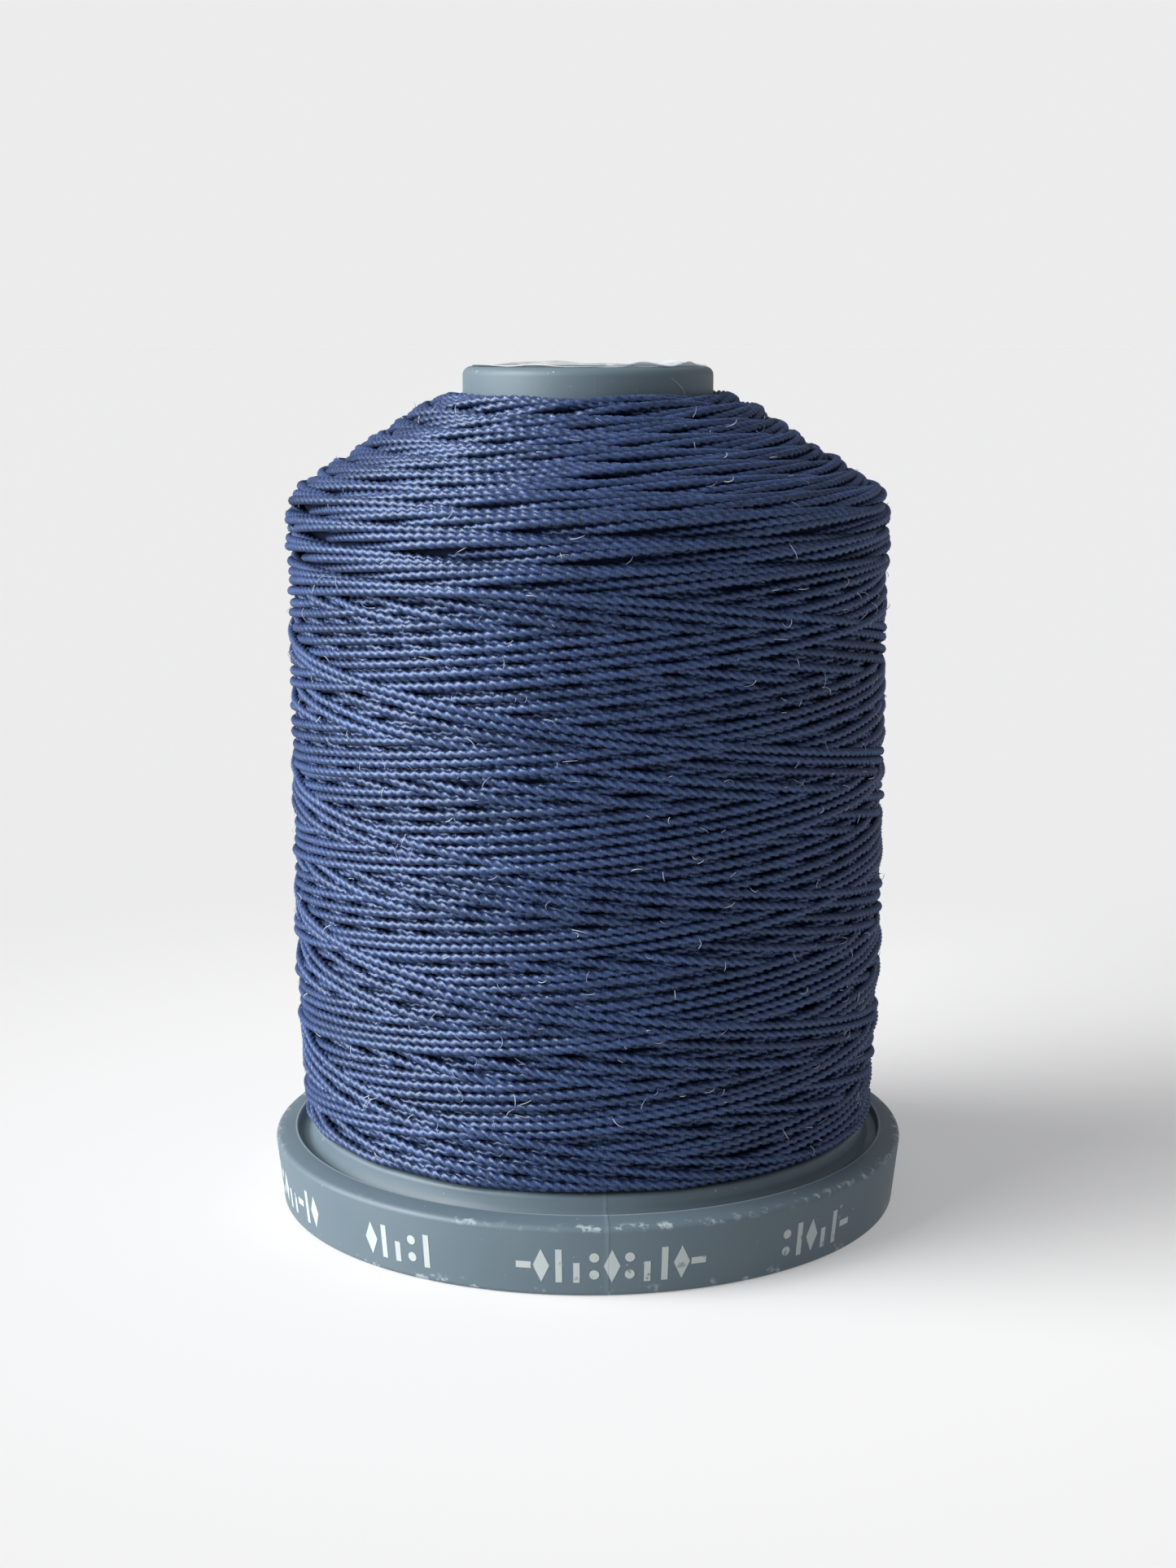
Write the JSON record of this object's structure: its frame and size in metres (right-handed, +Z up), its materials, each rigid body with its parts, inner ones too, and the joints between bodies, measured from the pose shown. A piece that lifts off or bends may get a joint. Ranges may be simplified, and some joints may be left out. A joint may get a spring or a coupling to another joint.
{
  "type": "thread spool",
  "caption": "Upright spool of heavy navy sewing thread: a moulded barrel with a wide base flange, cross-wound with three-ply thread that ends in a cone under the top collar.",
  "frame": {"origin": "centre of the base flange, on the surface the spool stands on", "axes": "+Z up along the spool's axis, from the base flange to the top collar; -Y is the side with the printed marks"},
  "size_m": [0.038, 0.038, 0.0499],
  "materials": {
    "spool_plastic": "satin blue-grey moulded plastic, rubbed pale along the flange's edges",
    "thread": "navy three-ply thread with a soft sheen and short fibres standing off it",
    "seal_film": "thin whitish translucent film, torn and slightly curled"
  },
  "bodies": {
    "root": {"spool_body": "spool_plastic", "thread_winding": "thread", "seal_label": "seal_film"}
  },
  "joints": []
}
